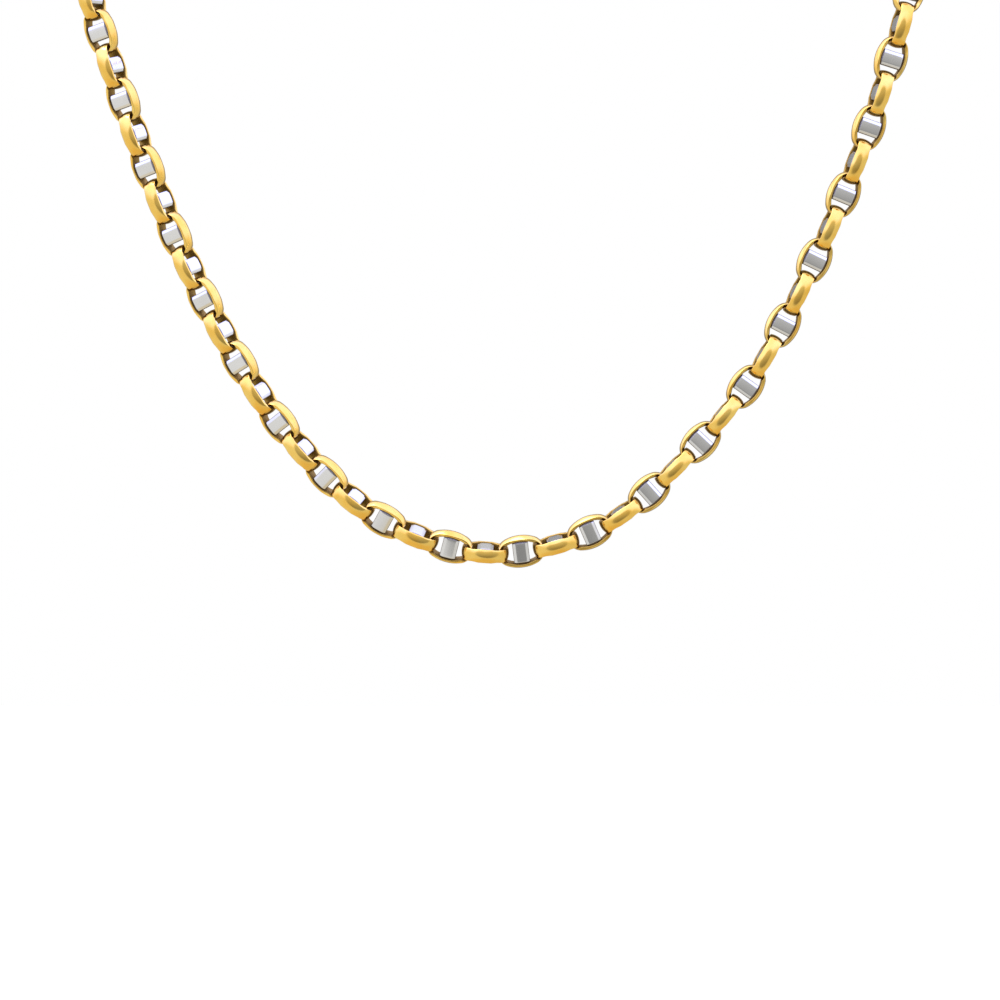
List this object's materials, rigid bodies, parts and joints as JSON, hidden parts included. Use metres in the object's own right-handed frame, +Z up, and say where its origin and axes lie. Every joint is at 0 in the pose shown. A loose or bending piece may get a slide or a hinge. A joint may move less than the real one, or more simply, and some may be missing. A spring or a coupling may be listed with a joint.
{
  "type": "necklace of mariner link chain",
  "caption": "Closed two-tone chain necklace of interlocking oval links, each with a bar across its middle, shown as it hangs when worn.",
  "frame": {"origin": "middle of the neck opening, level with the chain at the nape", "axes": "+Z up, +X to the viewer's right as seen from the front, +Y from the front of the neck to the nape"},
  "size_m": [0.1309, 0.0768, 0.122],
  "materials": {
    "yellow_gold": "polished yellow gold",
    "white_gold": "polished white gold"
  },
  "bodies": {
    "root": {"left_chain": "yellow_gold", "right_chain": "yellow_gold", "clasp": "yellow_gold"}
  },
  "joints": []
}
